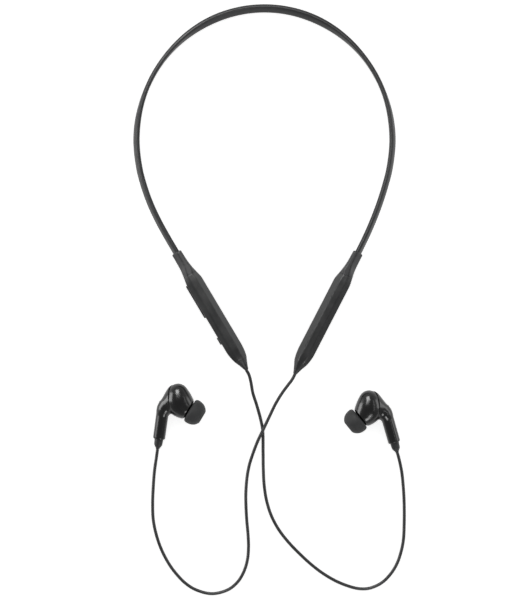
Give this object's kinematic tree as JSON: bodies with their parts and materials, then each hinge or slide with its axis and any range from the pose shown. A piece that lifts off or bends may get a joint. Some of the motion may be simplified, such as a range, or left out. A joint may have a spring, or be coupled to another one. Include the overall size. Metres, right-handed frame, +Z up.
{
  "type": "neckband earphones",
  "caption": "Neckband earphones: a flat silicone band between two slim pods with side keys, and two cabled in-ear buds with soft tips.",
  "frame": {"origin": "on the surface the headset lies on, under the middle of the box round the band, pods and earbuds (the two free cables left out)", "axes": "+Z up; +Y from the earbuds towards the nape of the band; +X towards the battery pod"},
  "size_m": [0.1362, 0.295, 0.0127],
  "materials": {
    "soft_silicone": "matt",
    "tip_silicone": "matt",
    "pod_plastic": "satin",
    "key_plastic": "satin",
    "bud_plastic": "gloss",
    "cable_jacket": "satin",
    "spring_steel": "bright",
    "copper_wire": "bright",
    "circuit_board": "satin",
    "plated_steel": "satin",
    "acoustic_mesh": "woven",
    "black_resin": "matt",
    "light_lens": "clear",
    "pale_film": "satin",
    "cell_foil": "satin"
  },
  "bodies": {
    "headset": {"battery_cell": "cell_foil", "battery_pod_band_boot": "soft_silicone", "battery_pod_bottom_cover": "pod_plastic", "battery_pod_cable": "cable_jacket", "battery_pod_cable_relief": "soft_silicone", "battery_pod_top_cover": "pod_plastic", "battery_pod_wire_anchor": "spring_steel", "bluetooth_chip": "black_resin", "call_switch": "plated_steel", "charging_board": "circuit_board", "charging_chip": "black_resin", "chip_antenna": "pale_film", "control_board": "circuit_board", "control_pod_band_boot": "soft_silicone", "control_pod_bottom_cover": "pod_plastic", "control_pod_cable": "cable_jacket", "control_pod_cable_relief": "soft_silicone", "control_pod_top_cover": "pod_plastic", "control_pod_wire_anchor": "spring_steel", "left_bud_cable_relief": "soft_silicone", "left_bud_driver_diaphragm": "pale_film", "left_bud_driver_frame": "black_resin", "left_bud_driver_magnet": "plated_steel", "left_bud_front_shell": "bud_plastic", "left_bud_nozzle_mesh": "acoustic_mesh", "left_bud_rear_shell": "bud_plastic", "left_bud_vent_mesh": "acoustic_mesh", "memory_wire": "spring_steel", "microphone": "plated_steel", "neckband_cable": "copper_wire", "neckband_sleeve": "soft_silicone", "right_bud_cable_relief": "soft_silicone", "right_bud_driver_diaphragm": "pale_film", "right_bud_driver_frame": "black_resin", "right_bud_driver_magnet": "plated_steel", "right_bud_front_shell": "bud_plastic", "right_bud_nozzle_mesh": "acoustic_mesh", "right_bud_rear_shell": "bud_plastic", "right_bud_vent_mesh": "acoustic_mesh", "status_led": "light_lens", "status_light_guide": "light_lens", "usb_socket_shell": "plated_steel", "usb_socket_tongue": "black_resin", "volume_down_switch": "plated_steel", "volume_up_switch": "plated_steel"},
    "volume_rocker": {"volume_rocker": "key_plastic"},
    "call_button": {"call_button": "key_plastic"},
    "left_ear_tip": {"left_bud_ear_tip": "tip_silicone"},
    "right_ear_tip": {"right_bud_ear_tip": "tip_silicone"}
  },
  "joints": [
    {"name": "volume_rocker_tilt", "type": "hinge", "parent": "headset", "child": "volume_rocker", "pos_m": [-0.0334, -0.0352, 0.005], "axis": [0, 0, 1], "range_deg": [-1.6, 1.6], "stiffness_Nm_per_rad": 0.2},
    {"name": "call_button_press", "type": "slide", "parent": "headset", "child": "call_button", "axis": [0.8599, 0.5105, 0], "range_m": [0, 0.00025], "stiffness_N_per_m": 3000},
    {"name": "left_ear_tip_pull", "type": "slide", "parent": "headset", "child": "left_ear_tip", "axis": [0.8572, -0.515, 0], "range_m": [0, 0.008]},
    {"name": "right_ear_tip_pull", "type": "slide", "parent": "headset", "child": "right_ear_tip", "axis": [-0.7749, -0.632, 0], "range_m": [0, 0.008]}
  ]
}
